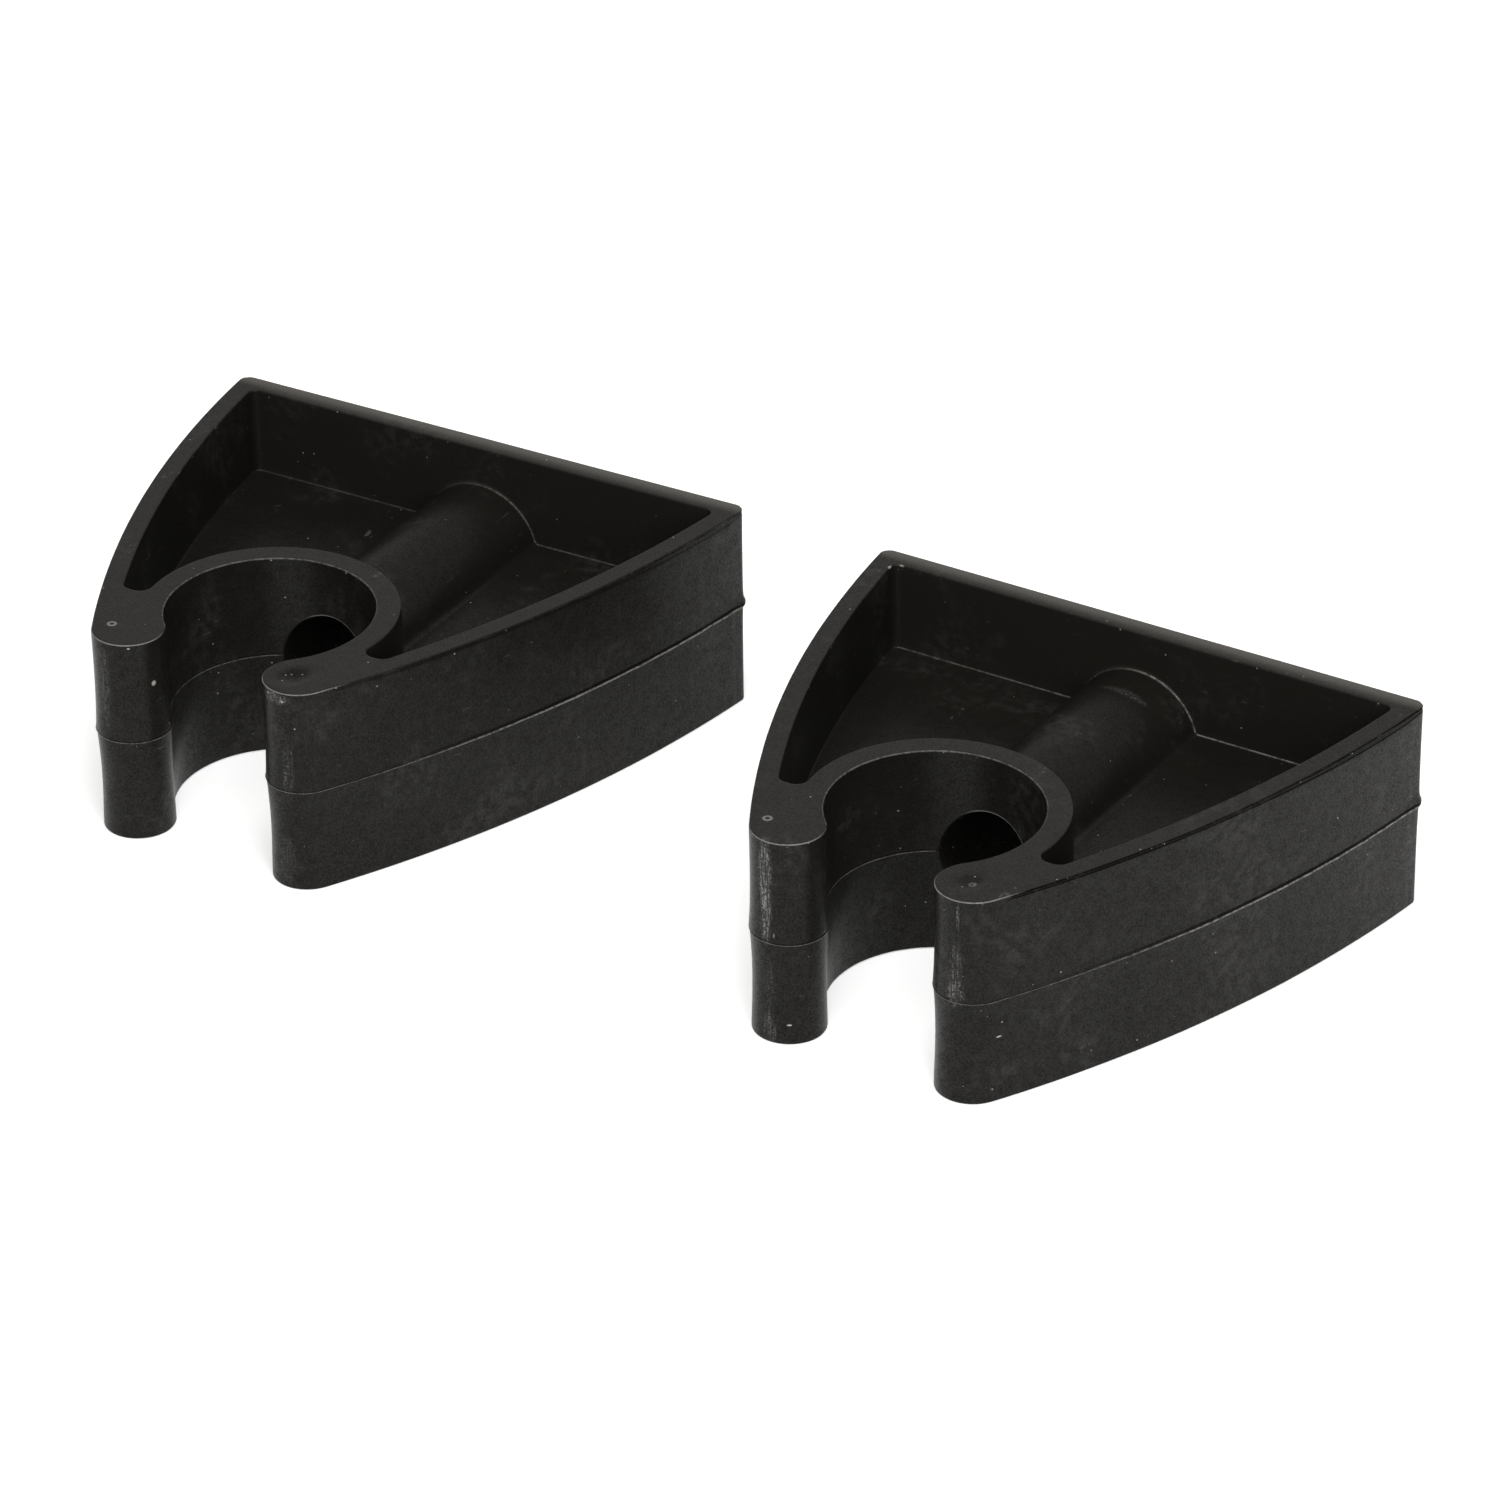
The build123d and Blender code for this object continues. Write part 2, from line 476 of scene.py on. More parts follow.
        # split the wall round the two hole patches
        low = start + levels.index(-PATCH_HALF_HEIGHT)
        high = start + levels.index(PATCH_HALF_HEIGHT)
        at_back = (-SHARED, SHARED)
        at_bore = (HALF - SHARED, HALF + SHARED)
        for first, last in ((at_back[1], at_bore[0]), (at_bore[1], LOOP + at_back[0])):
            self.patches.append(self.columns(grid, first, last))
        for first, last in (at_back, at_bore):
            strip = self.columns(grid, first, last)
            self.patches.append(strip[: low + 1])
            self.patches.append(strip[high:])
        self.bottom_ring, self.top_ring = grid[0], grid[-1]
        self.build_hole(np.array([MIDDLE + v for v in levels if abs(v) <= PATCH_HALF_HEIGHT]))

    @staticmethod
    def columns(grid, first, last):
        """Some columns of a closed grid, counted on past its end."""
        return grid[:, np.arange(first, last + 1) % LOOP]

    def build_hole(self, heights):
        """The bolt hole: a fitted patch in the bore, one in the back, and the tube between."""
        x = np.r_[-SHARED_X[:0:-1], SHARED_X]
        right = np.stack([np.full(len(heights), x[-1]), heights], 1)
        left = np.stack([np.full(len(heights), x[0]), heights[::-1]], 1)
        above = np.stack([x[::-1], np.full(len(x), heights[-1])], 1)
        below = np.stack([x, np.full(len(x), heights[0])], 1)
        away = np.concatenate([below[:-1], right[:-1], above[:-1], left]) - [0, MIDDLE]
        toward = away / np.linalg.norm(away, axis=1)[:, None]
        mouth = toward * (HOLE_RADIUS + MOUTH_ROUND)
        ends = []
        for facing in (self.facing_bore, self.facing_back):
            rows = [facing(away * (1 - t) + mouth * t, 0.0) for t in MOUTH_ROWS]
            for a in ROUND:
                radius = HOLE_RADIUS + MOUTH_ROUND * (1 - sin(a))
                rows.append(facing(toward * radius, MOUTH_ROUND * (1 - cos(a))))
            self.patches.append(np.array(rows))
            ends.append(rows[-1])
        tube = [ends[0] + (ends[1] - ends[0]) * t for t in np.linspace(0, 1, TUBE_STEPS + 1)]
        self.patches.append(np.array(tube))

    def facing_bore(self, place, depth):
        """Points of the bore's back, or a depth behind it, at places seen along Y."""
        x, z = place[:, 0], place[:, 1] + MIDDLE
        one, none = np.ones(len(x)), np.zeros(len(x))
        p = np.stack([x, np.sqrt(TUBE_RADIUS**2 - x**2)], 1)
        made = self.wall_point(p, -p / TUBE_RADIUS, none, one, 0.5 * arm_fade(p[:, 1]), z)
        made[:, 1] += depth
        return made

    def facing_back(self, place, depth):
        """Points of the flat back, or a depth in front of it, at places seen along Y."""
        x, z = place[:, 0], place[:, 1] + MIDDLE
        none = np.zeros(len(x))
        p = np.stack([x, np.full(len(x), BACK)], 1)
        made = self.wall_point(p, np.tile([0.0, 1.0], (len(x), 1)), none, none, none, z)
        made[:, 1] -= depth
        return made

    def build_rim(self, ring, edge, up):
        """The rim, straight across from the outer rounding to the pocket's."""
        rows = []
        for t in RIM_ROWS:
            line = ring * (1 - t) + edge * t
            ends = self.top(*ring[:, :2].T, up) * (1 - t) + self.top(*edge[:, :2].T, up) * t
            line[:, 2] += up * (self.top(*line[:, :2].T, up) - ends)
            rows.append(line)
        self.add_loop(np.array(rows))

    def build_pocket(self, up):
        """Rim, walls and floor of the pocket on one side of the web."""
        flat = self.top(*POCKET_P.T, up)
        rows = []
        for a in ROUND[::-1]:
            xy = POCKET_P - POCKET_N * POCKET_EDGE_ROUND * (1 - cos(a))
            rows.append(np.c_[xy, MIDDLE + up * (flat - POCKET_EDGE_ROUND * (1 - sin(a)))])
        self.build_rim(self.top_ring if up > 0 else self.bottom_ring, rows[0], up)

        # walls: drafted, down to a fillet that follows the web and the boss
        slope = tan(POCKET_DRAFT)
        wall_end = slope * (MIDDLE - WEB / 2 - FLOOR_FILLET)
        height = floor_height((POCKET_P + POCKET_N * (wall_end + FLOOR_FILLET))[:, 0])
        for t in POCKET_ROWS:
            depth = POCKET_EDGE_ROUND + t * (flat - height - FLOOR_FILLET - POCKET_EDGE_ROUND)
            z = MIDDLE + up * (flat - depth)
            wave = POCKET_WAVE * self.broad(*POCKET_P.T, z) * sin(pi * t)
            rows.append(np.c_[POCKET_P + POCKET_N * (slope * depth + wave)[:, None], z])
        for b in ROUND[1:]:
            xy = POCKET_P + POCKET_N * (wall_end + FLOOR_FILLET * (1 - cos(b)))
            rows.append(np.c_[xy, MIDDLE + up * (height + FLOOR_FILLET * (1 - sin(b)))])
        self.add_loop(np.array(rows))
        for side in (1, -1):
            self.build_floor(rows[-1], up, side)

    def build_floor(self, edge, up, side):
        """Half of a pocket's floor, laid out between the ring and the walls."""
        steps = np.arange(FLOOR_STEPS + 1)
        outside = edge[side * steps % LOOP]
        inside = edge[side * (HALF - steps) % LOOP]
        front = edge[side * (FLOOR_STEPS + np.arange(TIP_STEPS + 1)) % LOOP]
        t = np.linspace(0, 1, TIP_STEPS + 1)[:, None, None]
        grid = inside[None] * (1 - t) + outside[None] * t
        wave = FLOOR_WAVE * self.broad(grid[..., 0], grid[..., 1], 60.0 * up) * np.sin(pi * t[..., 0])
        grid[..., 2] = MIDDLE + up * (floor_height(grid[..., 0]) + wave)
        self.patches.append(grid)
        self.patches.append(np.array([grid[::-1, -1], front]))

    def mesh(self):
        """All the patches, joined into one mesh along their shared edges."""
        self.build_wall()
        for up in (1, -1):
            self.build_pocket(up)
        points, faces, base = [], [], 0
        for grid in self.patches:
            rows, columns = grid.shape[:2]
            points.append(grid.reshape(-1, 3))
            a = base + (np.arange(rows - 1)[:, None] * columns + np.arange(columns - 1)[None]).ravel()
            faces.append(np.stack([a, a + 1, a + columns + 1, a + columns], 1))
            base += rows * columns
        mesh = bpy.data.meshes.new(self.name)
        mesh.from_pydata((np.concatenate(points) * MM).tolist(), [], np.concatenate(faces).tolist())
        work = bmesh.new()
        work.from_mesh(mesh)
        bmesh.ops.remove_doubles(work, verts=work.verts, dist=WELD)
        bmesh.ops.recalc_face_normals(work, faces=work.faces)
        work.to_mesh(mesh)
        work.free()
        return mesh


def place_of(side):
    """Where a chock stands: the foot of its bore's axis, with +Y out of its flat back."""
    mounts = {m["name"]: m for m in frame["record"]["mounts"]}
    foot = Vector(mounts[f"{side}_clip"]["pos_m"])
    back = Vector(mounts[f"{side}_back"]["axis"])
    return Matrix.Translation(foot) @ back.to_track_quat("Y", "Z").to_matrix().to_4x4()


class Look:
    """A node material being put together. Places are in millimetres in a chock's own axes."""

    def __init__(self, name):
        self.material = bpy.data.materials.new(name)
        self.material.use_nodes = True
        self.tree = self.material.node_tree
        self.shader = self.tree.nodes["Principled BSDF"]

    def fill(self, node, inputs):
        """Sets a node's inputs, from sockets by a link and from anything else by value."""
        for key, value in inputs.items():
            if isinstance(value, bpy.types.NodeSocket):
                self.tree.links.new(value, node.inputs[key])
            else:
                node.inputs[key].default_value = value
        return node

    def put(self, kind, inputs, **settings):
        node = self.tree.nodes.new(kind)
        for key, value in settings.items():
            setattr(node, key, value)
        return self.fill(node, inputs)

    def math(self, operation, *values, clamp=False):
        node = self.put("ShaderNodeMath", dict(enumerate(values)), operation=operation, use_clamp=clamp)
        return node.outputs[0]

    def fold(self, operation, first, *others):
        for value in others:
            first = self.math(operation, first, value)
        return first

    def product(self, *values):
        return self.fold("MULTIPLY", *values)

    def total(self, *values):
        return self.fold("ADD", *values)

    def most(self, *values):
        return self.fold("MAXIMUM", *values)

    def vector(self, operation, *values):
        node = self.put("ShaderNodeVectorMath", dict(enumerate(values)), operation=operation)
        return node.outputs["Value" if operation == "LENGTH" else "Vector"]

    def split(self, value):
        parts = self.put("ShaderNodeSeparateXYZ", {0: value}).outputs
        return parts["X"], parts["Y"], parts["Z"]

    def distance(self, a, b):
        """How far two coordinates are from zero, taken together."""
        return self.vector("LENGTH", self.put("ShaderNodeCombineXYZ", {0: a, 1: b, 2: 0.0}).outputs[0])

    def remap(self, value, low, high, to_low=0.0, to_high=1.0):
        inputs = dict(enumerate((value, low, high, to_low, to_high)))
        return self.put("ShaderNodeMapRange", inputs, interpolation_type="SMOOTHSTEP").outputs[0]

    def line(self, value, target, half_width):
        """A soft line where a value is near its target."""
        away = self.math("ABSOLUTE", self.math("SUBTRACT", value, target))
        return self.remap(away, half_width, 0.35 * half_width)

    def beside(self, value, place, line):
        """A soft line beside a place, given as its distance from it and its half width."""
        distance, half_width = line
        return self.line(value, place + distance, half_width)

    def noise(self, place, scale, detail, roughness):
        inputs = {"Vector": place, "Scale": scale, "Detail": detail, "Roughness": roughness}
        return self.put("ShaderNodeTexNoise", inputs).outputs[0]

    def mix(self, share, first, second):
        inputs = {0: share, 6: first, 7: second}
        return self.put("ShaderNodeMix", inputs, data_type="RGBA").outputs[2]

    def near(self, place, centre, reach, strength):
        """A soft patch: full at the centre, nothing beyond its reach."""
        away = self.vector("DIVIDE", self.vector("SUBTRACT", place, centre), reach)
        return self.remap(self.vector("LENGTH", away), 1.0, 0.45, 0.0, strength)


# Colours of the plastic and of what lies on it, and the painted light, highlights and shade laid over them
BLACK_DEEP = (0.0078, 0.0074, 0.0062, 1)
BLACK_LIGHT = (0.0100, 0.0095, 0.0080, 1)
# painted light: the pockets' back wall made paler, as if more light fell on it
POCKET_BACK_PAINTED_LIGHT = (0.0150, 0.0143, 0.0122, 1)
RIM_COLOUR = (0.0180, 0.0172, 0.0155, 1)
# painted highlight: the rims made much paler toward the back
FAR_RIM_PAINTED_HIGHLIGHT = (0.088, 0.083, 0.075, 1)
# painted shade, for the creases over the seam and under the side walls' top edge
PAINTED_SHADE_COLOUR = (0.003, 0.0028, 0.0024, 1)
RUBBED = (0.21, 0.207, 0.195, 1)
# painted highlight, for the moulding's edges, the seam and its ledge, the hole's mouth and the fillets
PAINTED_HIGHLIGHT_COLOUR = (0.2, 0.197, 0.186, 1)
DUST = (0.42, 0.41, 0.38, 1)
SPECULAR = (0.04, 0.18)
# how far below the rims' flat face their paler tone reaches
PALE_RIM_DEPTH = 0.25

# Noises, as (scale, detail, roughness)
CLOUD = (0.09, 3.0, 0.55)
MOTTLE = (0.75, 4.0, 0.6)
GRAIN = (4.2, 4.0, 0.7)
STREAKS = (1.0, 5.0, 0.75)
SCRATCHES = (1.0, 2.0, 0.5)
UNEVEN = (1.6, 3.0, 0.7)
DASHES = (1.3, 4.0, 0.8)
FIBRE = (900.0, 3.0, 0.6)

# How tightly streaks and scratches are packed along each axis
STREAK_PACKING = (4.6, 4.6, 0.4)
SCRATCH_PACKING = (0.5, 0.12, 4.0)

# Painted highlight and shade lines as (distance from what they follow, half width): along the seam, the
# edges and the fillets
FLASH_LINE = (0.0, 0.07)
LEDGE_LINE = (0.02, 0.19)
CREASE_LINE = (0.18, 0.12)
DEEP_CREASE_LINE = (0.37, 0.32)
BORE_EDGE_LINE = (0.1, 0.2)
MOUTH_LINE = (0.1, 0.14)
BOSS_LINE = (0.07, 0.09)
WEB_LINE = (0.04, 0.08)

# Where the tops' rounded edges begin and the slants that they turn through, for the painted edge
# highlights, and the top of the band painted in shade
TOP_EDGE = (HEIGHT - 0.4, HEIGHT - 0.3)
EDGE_SLANT_BEGINS = (0.12, 0.35)
EDGE_SLANT_ENDS = (0.95, 0.85)
BAND_TOP = HEIGHT - EDGE_GROOVE_BELOW + 0.09
BAND_SOFT = 0.04

# Strengths of the painted highlight lines, of a scratch, a smudge, a rubbed patch's haze, dust and the
# band's painted shade
SEAM_HIGHLIGHT = 0.7
TIP_EDGE_HIGHLIGHT = 0.9
BORE_EDGE_HIGHLIGHT = 0.45
MOUTH_HIGHLIGHT = 0.9
SCRATCH_PALE = 0.2
SMUDGE_PALE = 0.05
HAZE_PALE = 0.1
DUST_PALE = 0.6
BAND_SHADE = 0.6

# Dust, as (seed's offset, size of a cell, radius, rarity: the more, the more cells stay empty)
DUST_COARSE = (0.0, 2.1, 0.13, 1.12)
DUST_FINE = (5.0, 1.3, 0.07, 1.2)
DUST_CRUMBS = (9.0, 0.8, 0.14, 1.0)

# Gloss and relief of the surface
ROUGHNESS = (0.29, 0.37)
CLOUD_ROUGHNESS = 0.02
WORN_ROUGHNESS = 0.15
BUMP_STRENGTH = 0.4
BUMP_HEIGHT = 0.014 * MM

# Rubbed patches and nicks as (centre, reach, strength), in a chock's own millimetres
RIGHT_SCUFFS = [
    ((-12.6, -16.2, 22.5), (1.15, 1.6, 5.6), 1.0),
    ((-12.5, -16.2, 16.8), (1.05, 1.6, 4.4), 0.8),
    ((-12.1, -16.2, 6.5), (0.8, 1.6, 5.5), 0.16),
    ((-12.2, -16.2, 1.6), (1.2, 1.6, 2.6), 0.35),
    ((1.5, 42.0, 21.3), (4.5, 0.8, 1.6), 0.25),
    ((22.0, 30.0, 15.5), (6.0, 1.2, 1.6), 0.25),
    ((12.4, -16.1, 17.5), (0.9, 1.6, 4.6), 0.45),
    ((12.4, -16.1, 14.4), (1.5, 1.6, 2.0), 0.5),
    ((12.7, -16.3, 24.6), (0.3, 1.0, 2.4), 0.5),
]
LEFT_SCUFFS = [
    ((-12.9, -16.0, 20.5), (1.0, 1.6, 7.0), 0.22),
    ((11.4, -16.2, 25.7), (2.6, 1.6, 0.9), 0.6),
    ((12.8, -16.2, 16.5), (1.0, 1.6, 4.5), 0.25),
    ((12.0, -16.2, 4.0), (1.6, 1.6, 4.0), 0.18),
]
RIGHT_MARKS = [
    ((-9.9, -15.7, 2.6), (0.36, 0.5, 0.13), 1.0),
    ((16.3, -13.3, 8.4), (0.32, 0.5, 0.12), 1.0),
    ((-11.4, -16.2, 14.5), (0.13, 0.5, 0.5), 0.5),
    ((-33.7, 46.1, 26.7), (0.3, 0.45, 0.4), 0.7),
    ((-32.7, 47.1, 26.7), (0.5, 0.25, 0.4), 0.9),
]
LEFT_MARKS = [
    ((-9.7, -15.5, 26.2), (0.25, 0.5, 0.16), 0.7),
    ((-8.0, -13.3, 20.9), (0.2, 0.5, 0.45), 0.7),
    ((10.4, -15.8, 26.0), (0.3, 0.5, 0.2), 0.8),
    ((12.5, -16.2, 25.5), (0.35, 0.5, 0.16), 0.8),
]


class Plastic(Look):
    """Satin black plastic with a fine grain, rubbed patches, dust and nicks, painted highlights on its
    moulding edges, and painted shade in its creases and under its top edge; the pockets' back wall and the
    back rims carry painted light too.
    """

    def __init__(self, name, seed):
        super().__init__(name)
        self.seed = seed
        self.place = self.put("ShaderNodeAttribute", {}, attribute_name="own").outputs["Vector"]
        self.moved = self.vector("ADD", self.place, (3.1 * seed, 0.7 * seed, 1.9 * seed))
        self.x, self.y, self.z = self.split(self.place)
        self.above = self.math("SUBTRACT", self.z, MIDDLE)
        self.high = self.math("ABSOLUTE", self.above)
        self.outward = self.math("ABSOLUTE", self.x)
        geometry = self.put("ShaderNodeNewGeometry", {})
        self.tilt_x, _, self.tilt_z = self.split(geometry.outputs["Normal"])

        # cloudiness left by the moulding, and a fine grain
        self.cloud = self.noise(self.moved, *CLOUD)
        self.mottle = self.noise(self.moved, *MOTTLE)
        self.grain = self.noise(self.moved, *GRAIN)

    def wear(self, scuffs):
        """Rubbed streaks along the height, faint scratches across the faces, and smudges."""
        stretched = self.vector("MULTIPLY", self.moved, STREAK_PACKING)
        streak = self.remap(self.noise(stretched, *STREAKS), 0.45, 0.6)
        broken = self.remap(self.grain, 0.42, 0.58)
        rubbed = self.total(*(self.near(self.place, *patch) for patch in scuffs))
        haze = self.product(rubbed, HAZE_PALE)
        rubbed = self.math("ADD", self.product(rubbed, streak, broken), haze, clamp=True)
        crossing = self.vector("MULTIPLY", self.moved, SCRATCH_PACKING)
        scratch = self.remap(self.noise(crossing, *SCRATCHES), 0.70, 0.735, 0.0, SCRATCH_PALE)
        scratch = self.product(scratch, self.remap(self.mottle, 0.5, 0.62))
        smudge = self.product(self.remap(self.cloud, 0.52, 0.68), self.remap(self.mottle, 0.4, 0.65))
        smudge = self.product(smudge, SMUDGE_PALE)
        return self.math("ADD", self.total(rubbed, scratch), smudge, clamp=True)

    def fillets(self):
        """Painted highlight lines where the boss and the web meet the back wall."""
        at_back = self.line(self.y, INSIDE_BACK - 0.1, 0.4)
        boss = self.beside(self.distance(self.x, self.above), BOSS_RADIUS, BOSS_LINE)
        boss = self.product(boss, at_back, self.remap(self.x, -3.0, 2.5, 0.15, 1.0))
        web = self.beside(self.high, WEB / 2, WEB_LINE)
        web = self.product(web, at_back, self.remap(self.outward, BOSS_RADIUS - 0.6, BOSS_RADIUS))
        web = self.product(web, self.remap(self.x, -20.0, 6.0, 0.45, 1.0))
        return self.most(boss, web)

    def painted_highlight_lines(self, fillet_highlight):
        """Painted highlights on the flash (whose plastic is a little paler too) and the ledge it stands on,
        the tops' edges, the lit side of the hole's mouth and the fillets.
        """
        uneven = self.remap(self.noise(self.moved, *UNEVEN), 0.36, 0.6, 0.25, 1.0)
        beside_hole = self.remap(self.outward, HOLE_RADIUS + 0.2, HOLE_RADIUS + 0.5)
        flash = self.product(self.beside(self.above, 0.0, FLASH_LINE), beside_hole, SEAM_HIGHLIGHT)
        ledge = self.product(self.beside(self.above, 0.0, LEDGE_LINE), self.remap(self.outward, 18.0, 34.0))
        slanted = self.product(
            self.remap(self.tilt_z, *EDGE_SLANT_BEGINS), self.remap(self.tilt_z, *EDGE_SLANT_ENDS)
        )
        top_edge = self.product(self.remap(self.z, *TOP_EDGE), slanted)
        tip_edge = self.product(top_edge, self.remap(self.y, -10.0, -14.5), TIP_EDGE_HIGHLIGHT)
        bore_edge = self.beside(self.distance(self.x, self.y), TUBE_RADIUS, BORE_EDGE_LINE)
        bore_edge = self.product(bore_edge, top_edge, BORE_EDGE_HIGHLIGHT)
        mouth = self.beside(self.distance(self.x, self.above), HOLE_RADIUS, MOUTH_LINE)
        lit_side = self.remap(self.total(self.x, self.above), 1.0, 5.0)
        mouth = self.product(mouth, self.remap(self.y, 13.2, 12.9), lit_side, MOUTH_HIGHLIGHT)
        fillets = self.product(self.fillets(), fillet_highlight)
        broken = self.product(self.total(flash, ledge, bore_edge, fillets), uneven)
        steady = self.product(self.total(tip_edge, mouth), self.remap(uneven, 0.25, 1.0, 0.7, 1.0))
        return self.math("MINIMUM", self.total(broken, steady), 1.0)

    def painted_shade_lines(self, edge_shade):
        """Painted shade: the crease over the flash, and the broken lines and band under the side walls' top
        edge.
        """
        crease = self.beside(self.above, 0.0, CREASE_LINE)
        crease = self.product(crease, self.remap(self.outward, 10.0, 22.0, 0.35, 0.0))
        deep = self.beside(self.above, 0.0, DEEP_CREASE_LINE)
        deep = self.product(deep, self.remap(self.outward, 14.0, 32.0, 0.0, 0.9))
        dashes = self.remap(self.noise(self.moved, *DASHES), 0.33, 0.44)
        facing_out = self.remap(self.product(self.tilt_x, self.math("SIGN", self.x)), 0.15, 0.35)
        on_side = self.product(self.remap(self.outward, 16.6, 17.4), facing_out, edge_shade)
        growth = self.remap(self.y, *BAND_GROWS, 0.0, EDGE_BAND_GROWTH)
        growth = self.product(growth, self.remap(self.y, *BAND_CLOSES, 1.0, BAND_CLOSED))
        lifted = self.total(self.z, growth, EDGE_BAND_HEIGHT)
        upper = self.product(self.line(self.z, BAND_TOP, 0.15), on_side, dashes)
        steadier = self.remap(dashes, 0.0, 1.0, 0.6, 1.0)
        lower = self.product(self.line(lifted, BAND_TOP, 0.12), on_side, steadier)
        band = self.remap(self.z, BAND_TOP + BAND_SOFT, BAND_TOP - BAND_SOFT)
        band = self.product(band, self.remap(lifted, BAND_TOP - BAND_SOFT, BAND_TOP + BAND_SOFT))
        band = self.product(band, on_side, BAND_SHADE)
        return self.most(crease, deep, upper, lower, band)

    def specks(self, offset, cell, radius, rarity):
        """Sparse round specks of dust."""
        seed = self.seed + offset
        moved = self.vector("ADD", self.place, (seed, 2.3 * seed, 1.7 * seed))
        cells = self.put("ShaderNodeTexVoronoi", {"Vector": moved, "Scale": 1 / cell}).outputs
        chosen = self.remap(self.vector("LENGTH", cells["Color"]), rarity, rarity + 0.01)
        reach = radius / cell
        return self.product(chosen, self.remap(cells["Distance"], reach, 0.5 * reach))

    def light_specks(self, marks):
        """Dust all over, crumbs in the worn groove, and the nicks."""
        crumbs = self.line(self.z, HEIGHT - EDGE_GROOVE_BELOW, 0.22)
        crumbs = self.product(crumbs, self.specks(*DUST_CRUMBS))
        dust = self.most(self.specks(*DUST_COARSE), self.specks(*DUST_FINE), crumbs)
        nicks = self.total(*(self.near(self.place, *mark) for mark in marks))
        return self.math("MAXIMUM", self.product(dust, DUST_PALE), nicks, clamp=True)

    def plastic_with_painted_light(self):
        """The plastic's colour: cloudy black and paler on the rims, with painted light on the pockets' back
        wall and a painted highlight on the rims toward the back.
        """
        colour = self.mix(self.remap(self.cloud, 0.3, 0.7), BLACK_DEEP, BLACK_LIGHT)
        colour = self.mix(self.product(self.mottle, 0.3), colour, BLACK_LIGHT)
        # painted light on the pockets' back wall
        colour = self.mix(self.line(self.y, INSIDE_BACK, 0.5), colour, POCKET_BACK_PAINTED_LIGHT)
        rim = self.remap(self.high, MIDDLE - PALE_RIM_DEPTH, MIDDLE - RIM_DROP)
        # painted highlight on the rims toward the back
        rim_with_painted_highlight = self.mix(self.remap(self.y, BACK - 2.6, BACK - 0.4), RIM_COLOUR, FAR_RIM_PAINTED_HIGHLIGHT)
        return self.mix(rim, colour, rim_with_painted_highlight)

    def finish(self, scuffs, marks, fillet_highlight, edge_shade):
        """The whole material, each layer over the one before (painted shade, wear, painted highlights,
        dust), then gloss and relief.
        """
        worn = self.wear(scuffs)
        # painted shade in the creases and under the side walls' top edge
        painted_shade = self.painted_shade_lines(edge_shade)
        colour = self.mix(painted_shade, self.plastic_with_painted_light(), PAINTED_SHADE_COLOUR)
        colour = self.mix(worn, colour, RUBBED)
        # painted highlights on the edges, the seam, the hole's mouth and the fillets
        colour = self.mix(self.painted_highlight_lines(fillet_highlight), colour, PAINTED_HIGHLIGHT_COLOUR)
        colour = self.mix(self.light_specks(marks), colour, DUST)

        roughness = self.remap(self.mottle, 0.25, 0.75, *ROUGHNESS)
        clouded = self.remap(self.cloud, 0.3, 0.7, -CLOUD_ROUGHNESS, CLOUD_ROUGHNESS)
        roughness = self.total(roughness, clouded, self.product(worn, WORN_ROUGHNESS))
        glints = self.total(self.product(self.grain, 0.8), self.product(self.mottle, 0.2))
        glints = self.remap(glints, 0.38, 0.62, *SPECULAR)
        # no gloss where shade is painted
        glints = self.product(glints, self.math("SUBTRACT", 1.0, painted_shade))
        height = self.total(self.grain, self.product(self.mottle, 2.5), self.product(worn, 1.2))
        relief = {"Strength": BUMP_STRENGTH, "Distance": BUMP_HEIGHT, "Height": height}
        bump = self.put("ShaderNodeBump", relief)
        self.fill(self.shader, {
            "Base Color": colour,
            "Roughness": roughness,
            "Normal": bump.outputs["Normal"],
            "Specular IOR Level": glints,
        })
        return self.material


# The stub left where the plastic was fed in: radius and height of each ring, from its foot up
PIP_PROFILE = ((0.5, -0.4), (0.51, 0.0), (0.48, 0.025), (0.4, 0.036), (0.3, 0.02), (0.22, -0.08))
PIP_CENTRE_HEIGHT = -0.12
PIP_SIDES = 28

# Its pale ring and darker heart, as (reach, strength) of a mark
PIP_RING = ((0.75, 0.75, 0.5), 0.5)
PIP_HEART = ((0.45, 0.45, 0.5), -0.5)


def make_pip(name, x, y, z, seed):
    """A gate mark: a low, uneven, slightly chipped stub with a hollow heart."""
    rng = np.random.default_rng(seed)
    turn = np.arange(PIP_SIDES) * 2 * pi / PIP_SIDES
    wobble = 1 + 0.07 * np.sin(3 * turn + rng.uniform(0, 6)) + 0.04 * np.sin(5 * turn + rng.uniform(0, 6))
    chip = 1 - 0.8 * hump(turn - rng.uniform(1, 5), 0.5)
    rows = []
    for radius, height in PIP_PROFILE:
        lift = height * chip if height > 0 else np.full(PIP_SIDES, height)
        ring = [x + radius * wobble * np.cos(turn), y + radius * wobble * np.sin(turn), z + lift]
        rows.append(np.stack(ring, 1))
    foot = [[x, y, z + PIP_PROFILE[0][1]]]
    points = np.concatenate(rows + [foot, [[x, y, z + PIP_CENTRE_HEIGHT]]])
    under, over = len(points) - 2, len(points) - 1
    last = (len(rows) - 1) * PIP_SIDES
    faces = []
    for i in range(PIP_SIDES):
        j = (i + 1) % PIP_SIDES
        for base in range(0, last, PIP_SIDES):
            faces.append((base + i, base + j, base + PIP_SIDES + j, base + PIP_SIDES + i))
        faces.append((j, i, under))
        faces.append((last + i, last + j, over))
    mesh = bpy.data.meshes.new(name)
    mesh.from_pydata((points * MM).tolist(), [], faces)
    return mesh


